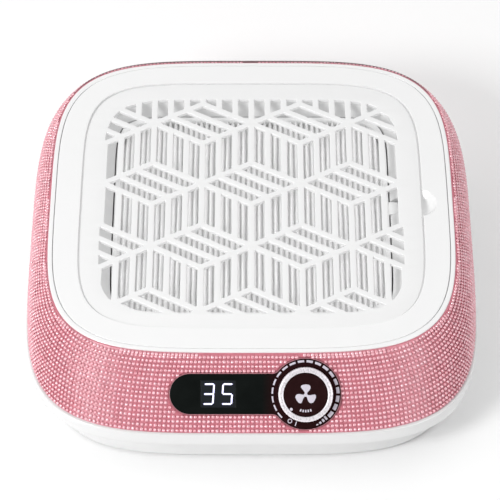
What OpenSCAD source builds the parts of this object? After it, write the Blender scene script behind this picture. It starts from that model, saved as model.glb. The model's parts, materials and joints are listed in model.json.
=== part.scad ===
// Nail dust collector: a square tabletop extractor. Air goes down through the grille and the pleated
// filter, through a centrifugal blower, and out of the rear of the base.
// Axes: +X is the user's right, -Y is the front, +Z is up. The origin is on the table under the
// middle of the body.

/* [Housing] */
// Overall width, across the white lip
body_w = 265; // [256:1:272]
// Overall depth, front to back, across the white lip
body_d = 279; // [272:1:286]
// Height of the top rim above the table
body_h = 65; // [65:1:70]
// Width and depth of the square top rim
rim_w = 238.6; // [236:0.1:242]
// How far the middle of the top rim lies behind the middle of the body
rim_back = 14; // [12:0.5:16]
// Roundness of the plan outlines: 2 is an ellipse, more is squarer
squareness = 4.2; // [3.8:0.1:5]
// How far the sides bulge before they turn in to the rim: 1 is straight
side_bulge = 2.9; // [1:0.1:4]
// How far the plinth is set back under the lip
plinth_inset = 11; // [9:0.5:12]
// Thickness of the moulded walls
wall = 2.2; // [2:0.1:2.5]

/* [Grille] */
// Width and depth of the grille cover
grille_w = 201.5; // [198:0.5:203]
// Width of its open lattice
window_w = 178.6; // [176:0.1:180]
// Edge length of a lattice rhombus
rhomb = 34.15; // [30:0.05:36]
// Width of the lattice bars
bar = 3.6; // [3:0.1:4.5]

/* [Filter] */
// Width and depth of the filter cassette
filter_w = 164; // [158:1:166]
// Number of pleats
pleats = 49; // [30:1:54]

/* [Blower] */
// Outer radius of the impeller
impeller_r = 54; // [50:1:55]
// Number of impeller blades
blades = 36; // [24:1:40]

/* [Controls] */
// Radius of the dial disc on the fascia
dial_r = 20; // [19:0.1:20.5]
// Radius of the knob
knob_r = 15.4; // [14:0.1:16]
// Height of the display band of the fascia
band_h = 22.8; // [21:0.1:23]

/* [Hidden] */

$fn = 64;
eps = 0.01;
sides = 72;             // points round each plan outline

white = "#f6f6f5";
pink = "#e19ba7";
black = "#141817";
silver = "#e8e6e8";

// heights
floor_z = 1.5;          // underside of the base
floor_top = 4.8;
lip_z = 22.9;           // underside of the lip
lip_top = 32.7;
rim_z = body_h - 0.8;   // underside of the top rim
deck_z = body_h - 2.2;  // underside of the deck's flange
grille_top = body_h - 0.9;
grille_z = grille_top - 2.2;
well_top = grille_z - 2;
well_z = 34.5;
pocket_z = 37.8;        // floor of the filter's pocket in the well
funnel_z = 54.6;        // where the well starts to widen towards the lattice

// skirt between the lip and the rim
skirt_w = body_w - 3.4;
skirt_d = body_d - 3.2;
rim_front = rim_back - rim_w / 2;
rim_rear = rim_back + rim_w / 2;
skirt_edge = 0.8;       // how far the skirt's top edge stands outside the rim
slope_run = rim_front - skirt_edge + skirt_d / 2;
slope = atan2(rim_z - lip_top, slope_run);
stone_h = 1.0;          // thickness of the stone layer

// grille, well and filter
grille_n = 5.2;
window_n = 6.3;
window_d = window_w - 2.2;
window_y = rim_back - 0.9;
row_y = window_y + 67.5;    // first row of lattice hubs
filter_n = 9;
filter_z = 39.6;
filter_h = 15.4;
tab_y = 17;
tab_w = 10;
tab_reach = 5.4;        // how far the lifting tab stands out of the cassette
well_gap = 0.8;         // clearance round the cassette

// blower and motor, both on the vertical axis at [0, blower_y]
blower_y = 12;
scroll_top = 31;
tongue_a = 50;          // angle of the scroll's tongue
scroll_r0 = impeller_r + 6;
scroll_growth = 16;
outlet_y = 120.8;
can_r = 23.4;
shaft_r = 1.5;

// controls: on the front slope, x along the front, y up the slope, z out of it
controls_s = 0.497;     // height of their centre line, as a fraction of the slope
disc_x = 30.4;
band_x = -46.2;
digit_x = -18.95;
fascia_z = 0.9;
fascia_t = 2;
fillet_r = 5;           // where the band runs into the dial disc
board_back = -9.6;      // back of the control board
window_half = [9.7, 7.7];
digit_h = 12.2;
digit_w = 6.4;
digit_pitch = 10.5;
seg_t = 1.1;
cap_r = 12.5;           // the knob's dark cap, inside its bright ring
cap_z = 1.3;
cap_top = 6.7;
mark_h = 0.1;           // thickness of the printed marks

post_x = 108;
post_y = [-62, 70];
foot_xy = [82, 98];
jack_x = -60;
jack_z = 13;
port_x = [42, 72];      // exhaust opening in the rear of the base
port_z = [9, 22];
board_min = [-50, -116];
board_size = [60, 40];
board_z = 8.3;
board_top = board_z + 1.6;

// screws: the posts join the base to the shell
post_r = 4.6;
post_top = 31;
post_head_r = 3;
post_head_z = 7;        // top of the counterbore for a post screw's head
lug_head_r = 2.8;
lug_top = 9;
self_tap_r = 1.3;       // clearance hole of the small screws

function lerp(a, b, t) = a + (b - a) * t;
function spow(v, p) = sign(v) * pow(abs(v), p);

// a rounded-square outline, counter-clockwise
function outline(w, d, n, cy = 0) =
    [for (i = [0 : sides - 1]) let (t = 360 * i / sides)
        [w / 2 * spow(cos(t), 2 / n), cy + d / 2 * spow(sin(t), 2 / n)]];
function at_z(points, z) = [for (p = points) [p[0], p[1], z]];

// the skirt's outline at fraction s of its height, moved out by a normal distance
function skirt_ring(s, out = 0) =
    let (g = pow(s, side_bulge),
        half = lerp(skirt_w / 2, rim_w / 2 + skirt_edge, g) + 1.05 * out,
        front = lerp(-skirt_d / 2, rim_front - skirt_edge, s) - out / sin(slope),
        rear = lerp(skirt_d / 2, rim_rear + skirt_edge, g) + 1.02 * out)
    at_z(outline(2 * half, rear - front, squareness, (front + rear) / 2),
        lerp(lip_top, rim_z, s));
// the outline of the base at a distance in from the lip
function base_ring(inset, z) =
    at_z(outline(body_w - 2 * inset, body_d - 2 * inset, squareness), z);

// a solid through a stack of outlines; ends are flat caps, or join up when it is a loop
module loft(rings, loop = false) {
    n = len(rings[0]);
    m = len(rings);
    points = [for (r = rings) for (p = r) p];
    last = loop ? m - 1 : m - 2;
    walls = [for (k = [0 : last]) for (i = [0 : n - 1])
        let (a = k * n, b = ((k + 1) % m) * n, j = (i + 1) % n)
        for (f = [[a + i, b + i, b + j], [a + i, b + j, a + j]]) f];
    caps = loop ? [] : [[for (i = [0 : n - 1]) i], [for (i = [n - 1 : -1 : 0]) (m - 1) * n + i]];
    polyhedron(points, concat(walls, caps), convexity = 6);
}

// a straight-sided plate of rounded-square outline
module plate(w, n, z0, z1, cy = rim_back) {
    translate([0, 0, z0]) linear_extrude(z1 - z0) polygon(outline(w, w, n, cy));
}
module at_posts() {
    for (x = [-post_x, post_x]) for (y = post_y) translate([x, y, 0]) children();
}
module rod(r, z0, z1) {
    translate([0, 0, z0]) cylinder(r = r, h = z1 - z0);
}
module tube(r_in, r_out, z0, z1) {
    difference() {
        rod(r_out, z0, z1);
        rod(r_in, z0 - 1, z1 + 1);
    }
}
module block(low, high) {
    translate(low) cube(high - low);
}
module at_blower() {
    translate([0, blower_y, 0]) children();
}
module on_slope() {
    translate([0, lerp(-skirt_d / 2, rim_front - skirt_edge, controls_s),
        lerp(lip_top, rim_z, controls_s)]) rotate([slope, 0, 0]) children();
}
// a wire of eight sides through a list of points, with flat ends
module wire(points, r) {
    n = 8;
    last = len(points) - 1;
    rings = [for (i = [0 : last])
        let (v = points[min(i + 1, last)] - points[max(i - 1, 0)], t = v / norm(v),
            c = cross(t, abs(t[2]) > 0.7 ? [1, 0, 0] : [0, 0, 1]), u = c / norm(c), w = cross(t, u))
        [for (k = [0 : n - 1]) points[i] + r * (cos(360 * k / n) * u + sin(360 * k / n) * w)]];
    loft(rings);
}

// ---- base ----
module base_tray() {
    inner = plinth_inset + 2.4;
    inside = lip_z + 2.5;
    profile = [[plinth_inset + 0.8, floor_z], [plinth_inset, floor_z + 0.8], [plinth_inset, lip_z],
        [2, lip_z], [0.6, lip_z + 0.6], [0, lip_z + 2], [0, lip_top - 0.5], [0.5, lip_top],
        [2.9, lip_top], [2.9, inside], [inner, inside], [inner, floor_top]];
    color(white) difference() {
        union() {
            loft([for (p = profile) base_ring(p[0], p[1])]);
            at_posts() rod(post_r, floor_top - eps, post_top);
            at_board_corners() rod(3, floor_top - eps, board_z);
        }
        at_posts() rod(1.7, 0, 32);
        at_posts() rod(post_head_r + 0.4, 0, post_head_z);
        at_board_corners() rod(1.15, floor_top, board_z + 1);
        at_feet() rod(8.1, 0, 3.3);
        at_lugs() rod(self_tap_r, 3, 6);
        block([port_x[0], 110, port_z[0]], [port_x[1], 140, port_z[1]]);
        translate([jack_x, 110, jack_z]) rotate([-90, 0, 0]) cylinder(r = 5, h = 25);
    }
}
module at_feet() {
    for (x = [-1, 1]) for (y = [-1, 1]) translate([x * foot_xy[0], y * foot_xy[1], 0]) children();
}
module rubber_feet() {
    color("dimgray") at_feet() rod(8, 0, 3.3);
}
module base_screws() {
    color(silver) at_posts() {
        rod(post_head_r, 4.8, post_head_z);
        rod(1.5, post_head_z - 0.1, 41);
    }
}
module exhaust_grille() {
    gap = 0.2;
    border = 1.8;
    slot = 3;
    proud = 0.6;
    color(white) intersection() {
        translate([0, 0, 5]) linear_extrude(20)
            polygon(outline(body_w - 2 * plinth_inset + 2 * proud, body_d - 2 * plinth_inset + 2 * proud,
                squareness));
        difference() {
            block([port_x[0] + gap, outlet_y + 0.4, port_z[0] + gap],
                [port_x[1] - gap, 132, port_z[1] - gap]);
            for (x = [44.5 : 5 : 70])
                block([x, 120, port_z[0] + border], [x + slot, 134, port_z[1] - border]);
        }
    }
}

// ---- upper housing ----
module upper_shell() {
    rib_x = [112, 128];
    rib_t = 1.2;
    steps = [0, 0.2, 0.4, 0.6, 0.76, 0.88, 1];
    outer = [for (s = steps) skirt_ring(s)];
    inner = [for (i = [len(steps) - 1 : -1 : 0]) skirt_ring(steps[i], -wall)];
    color(pink) {
        difference() {
            loft(concat(outer, inner), loop = true);
            plate(rim_w - 2.6, squareness, 50, body_h);
            on_slope() translate([0, 0, -1.2]) linear_extrude(8) fascia_outline(0.8);
            on_slope() translate([0, 0, -12]) linear_extrude(20) fascia_outline(-2);
        }
        for (side = [-1, 1]) for (y = post_y) {
            translate([side * post_x, y, 0]) tube(1.55, 4.2, post_top, 45);
            block([min(side * rib_x), y - rib_t, 36], [max(side * rib_x), y + rib_t, 42]);
        }
    }
}
module rhinestone_skin() {
    steps = [0.01, 0.2, 0.4, 0.6, 0.76, 0.88, 0.99];
    outer = [for (s = steps) skirt_ring(s, stone_h)];
    inner = [for (i = [len(steps) - 1 : -1 : 0]) skirt_ring(steps[i], 0.02)];
    color("#eeb2bd") difference() {
        loft(concat(outer, inner), loop = true);
        on_slope() translate([0, 0, -8]) linear_extrude(16) fascia_outline(1);
    }
}
module top_frame() {
    color(white) difference() {
        union() {
            plate(rim_w, squareness, rim_z, body_h);
            plate(rim_w - 3.2, squareness, 56, rim_z + eps);
        }
        plate(rim_w - 5.2, squareness, deck_z, body_h + 1);
        plate(rim_w - 16, squareness, 50, body_h + 1);
    }
}
module top_deck() {
    scoop_r = 12.14;
    scoop = [grille_w / 2 - 2.2, rim_back - 2, body_h + 5.14];
    color(white) difference() {
        union() {
            plate(rim_w - 6, squareness, deck_z, body_h);
            plate(grille_w + 5.3, grille_n, well_top, deck_z + eps);
            intersection() {
                translate(scoop) sphere(r = scoop_r + 1.4, $fn = 96);
                block([scoop[0] - 0.25, scoop[1] - 20, 50], [scoop[0] + 12.3, scoop[1] + 20, body_h]);
            }
        }
        plate(grille_w + 0.8, grille_n, grille_z - 0.1, body_h + 1);
        plate(window_w + 8, window_n, 40, body_h + 1, window_y);
        translate(scoop) sphere(r = scoop_r, $fn = 96);
    }
}

// ---- grille ----
// one rhombus of the lattice: three slots that run along e1, side by side along e2
module rhomb_slots(corner, a1, a2) {
    e1 = [cos(a1), sin(a1)];
    e2 = [cos(a2), sin(a2)];
    m = bar / 2 / sin(60);
    for (k = [0 : 2]) {
        q0 = k * rhomb / 3 + m;
        q1 = (k + 1) * rhomb / 3 - m;
        mid = corner + rhomb / 2 * e1 + (q0 + q1) / 2 * e2 - [0, window_y];
        if (max(abs(mid[0]), abs(mid[1])) < window_w / 2 + rhomb / 2 - 3)
            polygon([corner + m * e1 + q0 * e2, corner + (rhomb - m) * e1 + q0 * e2,
                corner + (rhomb - m) * e1 + q1 * e2, corner + m * e1 + q1 * e2]);
    }
}
module lattice_slots() {
    pitch = rhomb * sqrt(3);
    for (row = [-1 : 4]) for (i = [-3 : 3]) {
        hub = [pitch * (i + (abs(row) % 2) / 2), row_y - 1.5 * rhomb * row];
        rhomb_slots(hub, -30, 30);
        rhomb_slots(hub, 90, 30);
        rhomb_slots(hub, 90, 150);
    }
}
module grille_cover() {
    color(white) translate([0, 0, grille_z]) linear_extrude(grille_top - grille_z) difference() {
        polygon(outline(grille_w, grille_w, grille_n, rim_back));
        intersection() {
            polygon(outline(window_w, window_d, window_n, window_y));
            lattice_slots();
        }
    }
}

// ---- filter ----
function well_ring(grow, z) =
    at_z(outline(filter_w + grow, filter_w + grow, filter_n, window_y), z);
function mouth_ring(grow, z) =
    at_z(outline(window_w + grow, window_w + grow, window_n, window_y), z);
module filter_well() {
    skin = 2;
    x0 = filter_w / 2;
    color("#ececeb") difference() {
        union() {
            loft([well_ring(2 * (well_gap + skin), well_z),
                well_ring(2 * (well_gap + skin), funnel_z - skin),
                mouth_ring(2 * skin, well_top - skin / 2), mouth_ring(2 * skin, well_top)]);
            plate(window_w + 17, window_n, well_top - skin, well_top, window_y);
            block([x0, tab_y - tab_w / 2 - 3, 43],
                [x0 + tab_reach + 2.4, tab_y + tab_w / 2 + 3, well_top - eps]);
        }
        loft([well_ring(2 * well_gap, pocket_z), well_ring(2 * well_gap, funnel_z),
            mouth_ring(0, well_top), mouth_ring(0, body_h)]);
        block([x0 - 1, tab_y - tab_w / 2 - 1, 44], [x0 + tab_reach + 0.8, tab_y + tab_w / 2 + 1, body_h]);
        plate(filter_w - 10, filter_n, well_z + skin, body_h, window_y);
        at_blower() rod(44, 30, 40);
    }
}
module filter_gasket() {
    color("gray") difference() {
        plate(filter_w, filter_n, 38, filter_z, window_y);
        plate(filter_w - 8, filter_n, 37, filter_z + 1, window_y);
    }
}
module filter_frame() {
    top = filter_z + filter_h;
    color(white) {
        difference() {
            plate(filter_w, filter_n, filter_z, top, window_y);
            plate(filter_w - 6, filter_n, filter_z + 1.4, top + 1, window_y);
            plate(filter_w - 14, filter_n, filter_z - 1, top + 1, window_y);
        }
        for (x = [-45, 0, 45])
            block([x - 1.5, window_y - 76, filter_z], [x + 1.5, window_y + 76, filter_z + 1.4]);
    }
}
module filter_pleats() {
    half = filter_w / 2 - 3;
    pitch = 2 * half / pleats;
    low = filter_z + 1.4;
    high = filter_z + filter_h - 0.8;
    fold = [for (i = [0 : 2 * pleats]) [-half + i * pitch / 2, i % 2 == 0 ? high : low + 3]];
    under = [for (i = [2 * pleats : -1 : 0]) fold[i] - [0, 3]];
    color("#fbfbfb") intersection() {
        plate(filter_w - 6.2, filter_n, filter_z, filter_z + filter_h, window_y);
        translate([0, window_y + half, 0]) rotate([90, 0, 0])
            linear_extrude(2 * half) polygon(concat(fold, under));
    }
}
module filter_tab() {
    x0 = filter_w / 2;
    top = filter_z + filter_h;
    color(white) difference() {
        block([x0, tab_y - tab_w / 2, 45], [x0 + tab_reach, tab_y + tab_w / 2, top]);
        block([x0 + 1.4, tab_y - tab_w, 40], [x0 + tab_w, tab_y + tab_w, top - 2]);
    }
}

// ---- blower ----
function scroll_point(a, inset) =
    let (r = scroll_r0 - inset + scroll_growth * (a - tongue_a) / (360 - tongue_a))
    [r * cos(a), blower_y + r * sin(a)];
module scroll_outline(inset = 0) {
    x1 = scroll_r0 + scroll_growth - inset;
    x0 = scroll_r0 * cos(tongue_a) + inset;
    end = outlet_y + (inset > 0 ? 1 : 0);
    polygon(concat([for (a = [tongue_a : 10 : 360]) scroll_point(a, inset)],
        [[x1, end], [x0, end]]));
}
module at_lugs() {
    for (a = [100, 160, 220, 310]) {
        p = scroll_point(a, -3);
        translate([p[0], p[1], 0]) children();
    }
}
module blower_housing() {
    color("#2b2d2f") difference() {
        union() {
            translate([0, 0, floor_top]) linear_extrude(scroll_top - floor_top) scroll_outline();
            at_lugs() rod(4.5, floor_top, lug_top);
        }
        translate([0, 0, floor_top + 2]) linear_extrude(40) scroll_outline(2);
        at_lugs() rod(1.6, 0, 10);
        at_blower() at_motor_screws() rod(self_tap_r, 0, 10);
        translate([0, -50, 7.9]) rotate([90, 0, 0]) cylinder(r = 1.2, h = 20);
    }
}
module blower_screws() {
    color(silver) at_lugs() {
        rod(lug_head_r, lug_top, lug_top + 1.8);
        rod(1.25, 3.2, lug_top + 0.1);
    }
}
module blower_cover() {
    color("#2b2d2f") {
        difference() {
            translate([0, 0, scroll_top]) linear_extrude(2) scroll_outline();
            at_blower() rod(42, 30, 40);
        }
        at_blower() {
            rod(6, scroll_top, scroll_top + 2);
            for (r = [17, 30]) tube(r - 1, r + 1, scroll_top, scroll_top + 2);
            for (a = [0 : 60 : 300]) rotate(a) block([5, -1, scroll_top], [43, 1, scroll_top + 2]);
        }
    }
}
module inlet_gasket() {
    color("gray") at_blower() tube(46, 52, scroll_top + 2, well_z);
}
// a forward-curved blade between radii r0 and r1
module blade(r0, r1) {
    path = [for (i = [0 : 5]) let (t = i / 5, r = lerp(r0, r1, t), a = 22 * t * t - 4 * t)
        [r * cos(a), r * sin(a)]];
    thick = [for (i = [5 : -1 : 0]) let (p = path[i], u = [-p[1], p[0]] / norm(p)) p + u];
    linear_extrude(17) polygon(concat(path, thick));
}
module impeller() {
    color("#3a3d40") at_blower() {
        tube(20.5, impeller_r, 9.6, 11.5);
        tube(can_r, can_r + 2, 11.4, 27.5);
        tube(impeller_r - 7, impeller_r, 28, 29.5);
        for (i = [0 : blades - 1]) rotate(360 * i / blades)
            translate([0, 0, 11.3]) blade(impeller_r - 12, impeller_r - 0.6);
    }
}
module rotor_can() {
    color("slategray") at_blower() difference() {
        union() {
            rod(can_r, 11.5, 27.5);
            rod(4, 27.4, 29.5);
        }
        rod(can_r - 1.4, 10, 26);
        rod(shaft_r, 20, 30);
    }
}
module rotor_magnet() {
    color("#4a4a4a") at_blower() tube(19.6, can_r - 1.4, 12.5, 24);
}
module motor_shaft() {
    color(silver) at_blower() rod(shaft_r, 8.9, 29.5);
}
module motor_bearings() {
    color(silver) at_blower() for (z = [9.5, 20.5]) tube(shaft_r + 0.03, 4, z, z + 4);
}
module at_motor_screws() {
    for (a = [30, 150, 210]) rotate(a) translate([14, 0, 0]) children();
}
module motor_mount() {
    color("silver") at_blower() difference() {
        union() {
            rod(20, 6.8, 8.8);
            rod(6, 8.7, 25);
        }
        rod(4, 9.4, 26);
        rod(shaft_r + 0.4, 6, 10);
        at_motor_screws() rod(self_tap_r, 6, 10);
        block([-1.3, -21, 6], [1.3, -12, 10]);
    }
}
module motor_screws() {
    color(silver) at_blower() at_motor_screws() {
        rod(2.2, 8.8, 10.2);
        rod(1.2, 5, 8.9);
    }
}
module stator_core() {
    color("#8d9196") at_blower() {
        tube(6, 9.6, 14, 22);
        for (i = [0 : 8]) rotate(40 * i) block([9.2, -1.6, 14], [16.4, 1.6, 22]);
        difference() {
            tube(16, 19, 14, 22);
            for (i = [0 : 8]) rotate(40 * i + 20) block([15, -0.9, 13], [20, 0.9, 23]);
        }
    }
}
module stator_windings() {
    color("#b8703a") at_blower() for (i = [0 : 8]) rotate(40 * i) difference() {
        block([10.2, -3.1, 12.6], [15.5, 3.1, 23.4]);
        block([9, -1.62, 13.98], [17, 1.62, 22.02]);
    }
}
module driver_board() {
    color("darkgreen") at_blower() tube(6.2, 19.4, 10.4, 11.6);
}
module motor_lead() {
    color("#333333") wire([[0, -2, 10.4], [0, -2, 7.9], [0, -66, 7.9], [0, -75.6, 11.5]], 0.9);
}

// ---- power ----
module at_board_corners() {
    for (x = [4, board_size[0] - 4]) for (y = [4, board_size[1] - 4])
        translate([board_min[0] + x, board_min[1] + y, 0]) children();
}
module power_board() {
    color("darkgreen") difference() {
        block([board_min[0], board_min[1], board_z],
            [board_min[0] + board_size[0], board_min[1] + board_size[1], board_top]);
        at_board_corners() rod(self_tap_r, 0, 20);
    }
}
module board_parts() {
    top = board_top;
    color("#2c2f3a") translate([board_min[0], board_min[1], 0]) {
        translate([12, 14, 0]) rod(5, top, top + 12);
        translate([24, 13, 0]) rod(4, top, top + 10);
        block([30, 20, top], [38, 28, top + 1.8]);
        block([10, 24, top], [20, 33, top + 6]);
        block([42, 34, top], [51, 40, top + 5]);
        block([35, 2, top], [45, 8, top + 5]);
        block([1, 14, top], [7, 24, top + 5]);
    }
}
module board_screws() {
    color(silver) at_board_corners() {
        rod(2.3, board_top, board_top + 1.4);
        rod(1.1, 5.2, board_top + 0.1);
    }
}
module dc_jack() {
    color("#222222") difference() {
        union() {
            block([jack_x - 5.5, 110, jack_z - 5.8], [jack_x + 5.5, 123, jack_z + 5.8]);
            translate([jack_x, 122.9, jack_z]) rotate([-90, 0, 0]) cylinder(r = 4.8, h = 4.5);
        }
        translate([jack_x, 116, jack_z]) rotate([-90, 0, 0]) cylinder(r = 3.1, h = 20);
    }
}
module dc_pin() {
    color(silver) translate([jack_x, 116, jack_z]) rotate([-90, 0, 0]) cylinder(r = 1, h = 9.8);
}
module dc_lead() {
    color("#333333") wire([[jack_x, 109.7, 10], [-80, 98, 8], [-94, 80, 7.5], [-94, -60, 7.5],
        [-80, -84, 9], [-49.5, -97, 12]], 1.2);
}

// ---- controls, on the front slope ----
module fascia_outline(grow) {
    fillet = fillet_r - grow;
    half = band_h / 2 + grow;
    reach = sqrt(pow(dial_r + fillet_r, 2) - pow(band_h / 2 + fillet_r, 2));
    k = (dial_r + grow) / (dial_r + fillet_r);
    difference() {
        union() {
            translate([disc_x, 0]) circle(r = dial_r + grow, $fn = 96);
            translate([band_x + band_h / 2, 0]) circle(r = half);
            translate([band_x + band_h / 2, -half]) square([disc_x - band_x - band_h / 2, 2 * half]);
            polygon([for (s = [[-1, -1], [0, -1], [0, 1], [-1, 1]])
                [disc_x - (s[0] == 0 ? reach * k : reach),
                s[1] * (s[0] == 0 ? (band_h / 2 + fillet_r) * k : half)]]);
        }
        for (s = [-1, 1]) translate([disc_x - reach, s * (band_h / 2 + fillet_r)]) circle(r = fillet);
    }
}
module fascia_bezel() {
    color("#f3dfe2") on_slope() translate([0, 0, -1.1]) linear_extrude(2.1) difference() {
        fascia_outline(0.7);
        fascia_outline(0.05);
    }
}
module window_rect(grow) {
    translate([digit_x - window_half[0] - grow, -window_half[1] - grow])
        square(2 * window_half + [2 * grow, 2 * grow]);
}
module fascia_panel() {
    color(black) on_slope() difference() {
        translate([0, 0, fascia_z - fascia_t]) linear_extrude(fascia_t) fascia_outline(0);
        translate([0, 0, -5]) linear_extrude(10) window_rect(0.1);
        translate([disc_x, 0, 0]) rod(5, -5, 5);
    }
}
module display_window() {
    color("#2b3033") on_slope() translate([0, 0, fascia_z - fascia_t])
        linear_extrude(fascia_t - 0.1) window_rect(0);
}
// seven segments, numbered from the top clockwise, the middle one last
module digit(segments) {
    h = digit_h / 2 - seg_t / 2;
    w = digit_w / 2 - seg_t / 2;
    places = [[0, h, 0], [w, h / 2, 90], [w, -h / 2, 90], [0, -h, 0], [-w, -h / 2, 90],
        [-w, h / 2, 90], [0, 0, 0]];
    for (k = segments) {
        long = places[k][2] == 0 ? 2 * w - seg_t - 0.3 : h - 0.5;
        translate([places[k][0], places[k][1]]) rotate(places[k][2])
            square([long, seg_t], center = true);
    }
}
module display_digits() {
    color("#e6e4ff") on_slope() translate([0, 0, fascia_z - 0.1]) linear_extrude(0.12) {
        translate([digit_x - digit_pitch / 2, 0]) digit([0, 1, 6, 2, 3]);
        translate([digit_x + digit_pitch / 2, 0]) digit([0, 5, 6, 2, 3]);
    }
}
module display_module() {
    color("#3a3d40") on_slope() block([digit_x - 11.4, -8.5, -8], [digit_x + 11.4, 8.5, -1.1]);
}
module control_board() {
    color("darkgreen") on_slope() block([-46, -11, board_back], [48, 11, -8]);
}
module dial_marks() {
    count = 18;
    color("#efeaf0") on_slope() translate([disc_x, 0, fascia_z]) {
        for (i = [0 : count - 1]) rotate(219.6 - 15.2 * i) {
            t = lerp(0.8, 2.2, pow(i / (count - 1), 1.5));
            block([19.2 - t, -1.85, 0], [19.2, 1.85, mark_h]);
        }
        rotate(240) translate([17.6, 0, 0]) tube(0.85, 1.3, 0, mark_h);
        rotate(252) block([16.3, -0.25, 0], [18.9, 0.25, mark_h]);
        for (i = [0 : 3]) rotate(291 + 6.4 * i)
            block([18.8 - 0.6 * (i + 1), -0.6, 0], [18.8, 0.6, mark_h]);
    }
}
module pot_body() {
    color("#5b6066") on_slope() translate([disc_x, 0, 0]) difference() {
        union() {
            block([-8.5, -8.5, -8], [8.5, 8.5, -2.5]);
            rod(4.4, -2.6, fascia_z);
        }
        rod(3.05, -7, 5);
    }
}
module pot_shaft() {
    color(silver) on_slope() translate([disc_x, 0, 0]) rod(3, -6.8, 5);
}
module knob_ring() {
    profile = [[cap_r, cap_z], [knob_r, cap_z], [knob_r, 6.4], [knob_r - 0.8, 7.3], [cap_r + 0.6, 7.3],
        [cap_r, cap_top]];
    color(silver) on_slope() translate([disc_x, 0, 0]) difference() {
        rotate_extrude($fn = 96) polygon(profile);
        for (i = [0 : 47]) rotate(7.5 * i) translate([knob_r + 0.15, 0, 0]) rod(0.4, 0, 9);
    }
}
module knob_cap() {
    color("#26191a") on_slope() translate([disc_x, 0, 0]) difference() {
        rod(cap_r, cap_z, cap_top);
        rod(3.02, 0, 5);
    }
}
module knob_emblem() {
    color("#e4e0ee") on_slope() translate([disc_x, 0, cap_top]) linear_extrude(0.15)
        for (i = [0 : 2]) rotate(120 * i) {
            translate([0.3, 3.9]) circle(r = 2.3);
            polygon([[-0.5, -0.4], [0.6, -0.3], [2.4, 3.2], [-1.8, 3]]);
        }
    color("#e4e0ee") on_slope() translate([disc_x, 0, cap_top])
        for (i = [-2 : 2]) rotate(270 + 9 * i) block([8.4, -0.4, 0], [9.8, 0.4, 0.15]);
}
module knob_pointer() {
    color("#f2eef4") on_slope() translate([disc_x, 0, 0]) rotate(225) translate([11.5, 0, 0])
        rod(0.8, cap_top, cap_top + 0.2);
}
module panel_lead() {
    color("#333333") wire([[-10, -118.4, 35.6], [-10, -113, 24], [-10, -111, 15]], 1.2);
}

base_tray();
rubber_feet();
base_screws();
upper_shell();
rhinestone_skin();
top_frame();
top_deck();
grille_cover();
filter_well();
filter_gasket();
filter_frame();
filter_pleats();
filter_tab();
inlet_gasket();
blower_cover();
blower_housing();
blower_screws();
impeller();
rotor_can();
rotor_magnet();
motor_shaft();
motor_bearings();
motor_mount();
motor_screws();
stator_core();
stator_windings();
driver_board();
motor_lead();
power_board();
board_parts();
board_screws();
dc_jack();
dc_pin();
dc_lead();
exhaust_grille();
fascia_bezel();
fascia_panel();
display_window();
display_digits();
display_module();
dial_marks();
control_board();
pot_body();
pot_shaft();
knob_ring();
knob_cap();
knob_emblem();
knob_pointer();
panel_lead();
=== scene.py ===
"""Nail dust collector: the looks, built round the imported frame. Metres, +Z up, -Y is the front."""
import json
import math

import bmesh
import bpy
import numpy as np
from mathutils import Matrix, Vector


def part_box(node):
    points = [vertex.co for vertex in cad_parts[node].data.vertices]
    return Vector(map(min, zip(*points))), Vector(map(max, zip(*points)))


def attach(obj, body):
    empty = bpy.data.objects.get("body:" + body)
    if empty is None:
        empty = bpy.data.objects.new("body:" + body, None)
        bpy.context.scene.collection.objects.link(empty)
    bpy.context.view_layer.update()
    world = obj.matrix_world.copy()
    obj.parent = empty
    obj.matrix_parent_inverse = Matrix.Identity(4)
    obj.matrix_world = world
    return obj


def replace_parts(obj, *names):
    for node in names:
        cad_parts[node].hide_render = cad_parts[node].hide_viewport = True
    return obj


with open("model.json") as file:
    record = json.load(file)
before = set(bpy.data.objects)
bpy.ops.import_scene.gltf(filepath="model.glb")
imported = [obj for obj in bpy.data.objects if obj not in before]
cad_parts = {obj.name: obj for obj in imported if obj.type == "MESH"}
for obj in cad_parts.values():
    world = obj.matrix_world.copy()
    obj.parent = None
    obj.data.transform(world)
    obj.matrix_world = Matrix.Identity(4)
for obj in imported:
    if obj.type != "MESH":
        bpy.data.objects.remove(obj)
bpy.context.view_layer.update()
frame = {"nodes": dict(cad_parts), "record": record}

MM = 0.001
TAU = 2 * math.pi
rng = np.random.default_rng(7)
SHARP = math.radians(32)                      # edges steeper than this stay crisp

SKY = 0.95                                    # brightness of the white surround
VIEW_RISE = math.radians(46.9)                # the camera looks down at this angle
VIEW = (0, -math.cos(VIEW_RISE), math.sin(VIEW_RISE))                       # towards the camera
KEY = Vector((-0.56, -0.556, 0.59)).normalized()                            # towards the main light
SHEEN_LEFT = Vector((-0.64, -0.52, 0.57)).normalized()                      # lights seen only in the stones
SHEEN_RIGHT = Vector((0.6, -0.52, 0.58)).normalized()

# ---------------------------------------------------------------- measures, from the frame
LIP_LOW, LIP_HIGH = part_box("base_tray")
RIM_LOW, RIM_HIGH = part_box("top_frame")
SHELL_LOW, SHELL_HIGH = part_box("upper_shell")
DECK_LOW, DECK_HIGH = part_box("top_deck")
GRILLE_LOW, GRILLE_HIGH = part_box("grille_cover")
WELL_LOW, WELL_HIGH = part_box("filter_well")
FILTER_LOW, FILTER_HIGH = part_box("filter_frame")
SQUARE = 4.2                                  # roundness of the body's plan outlines
GRILLE_SQUARE, WINDOW_SQUARE, FILTER_SQUARE = 5.2, 6.3, 9
LIP_W, LIP_D = LIP_HIGH.x - LIP_LOW.x, LIP_HIGH.y - LIP_LOW.y
RIM_W = RIM_HIGH.x - RIM_LOW.x
RIM_Y = (RIM_LOW.y + RIM_HIGH.y) / 2
TOP_Z = RIM_HIGH.z
SKIRT_W, SKIRT_D = SHELL_HIGH.x - SHELL_LOW.x, SHELL_HIGH.y - SHELL_LOW.y
SKIRT_TOP = SHELL_HIGH.z
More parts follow.
